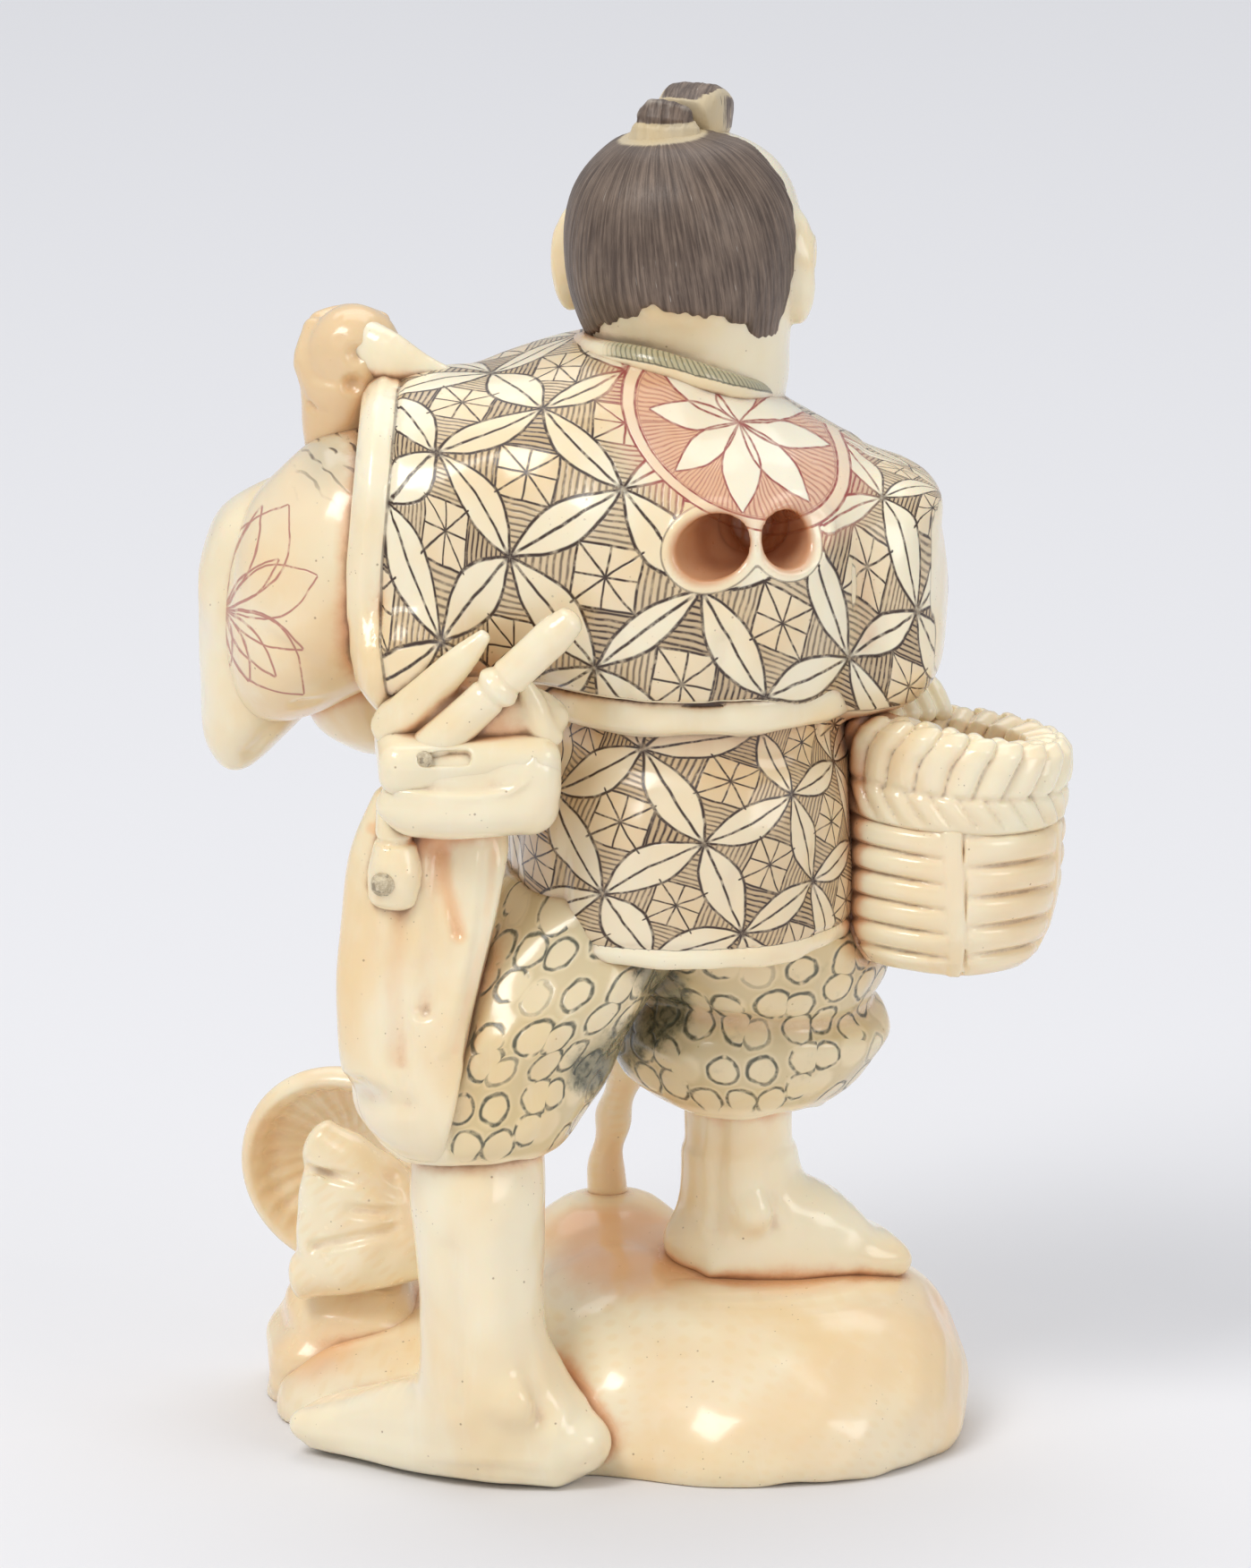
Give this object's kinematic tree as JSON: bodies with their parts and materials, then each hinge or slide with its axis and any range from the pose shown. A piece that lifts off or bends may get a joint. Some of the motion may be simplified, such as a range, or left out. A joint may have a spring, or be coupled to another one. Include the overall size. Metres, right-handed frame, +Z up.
{
  "type": "netsuke figure",
  "caption": "Carved ivory netsuke of a standing robed figure seen from behind, one fist raised, with a woven basket at the hip and a pouch on the belt, on a rounded ground with a flat underside.",
  "frame": {"origin": "centre of the bounding box's bottom, on the plane that the ground's flat underside rests on", "axes": "+Z up, +Y the way the figure faces, +X to the figure's right, where the basket is"},
  "size_m": [0.0371, 0.0222, 0.0586],
  "materials": {
    "ivory": "polished ivory",
    "ivory_warm": "polished ivory with a warm orange tone",
    "ivory_robe": "polished ivory, engraved and stained with a leaf lattice",
    "ivory_trousers": "polished ivory, engraved with stained rings",
    "hair_stain": "ivory engraved with fine strands and stained dark",
    "grey_inlay": "speckled grey inlay"
  },
  "bodies": {
    "root": {"base_mound": "ivory_warm", "rock": "ivory_warm", "shell_back_valve": "ivory_warm", "shell_front_valve": "ivory_warm", "strut": "ivory_warm", "left_leg": "ivory", "right_leg": "ivory", "left_trouser_leg": "ivory_trousers", "right_trouser_leg": "ivory_trousers", "robe_skirt": "ivory_robe", "robe_body": "ivory_robe", "sash": "ivory", "sash_knot": "ivory", "collar": "ivory", "head": "ivory", "hair_cap": "hair_stain", "topknot_tuft": "hair_stain", "topknot_fold": "hair_stain", "left_under_sleeve": "ivory", "left_sleeve_drape": "ivory", "left_hand": "ivory", "shoulder_strap": "ivory", "right_under_sleeve": "ivory", "right_hand": "ivory", "basket": "ivory", "basket_rim": "ivory", "pouch_body": "ivory", "pouch_flap": "ivory", "pouch_inlay": "grey_inlay", "pipe_case": "ivory", "belt_fold": "ivory", "toggle_bead": "ivory", "toggle_inlay": "grey_inlay", "apron_cloth": "ivory"}
  },
  "joints": []
}
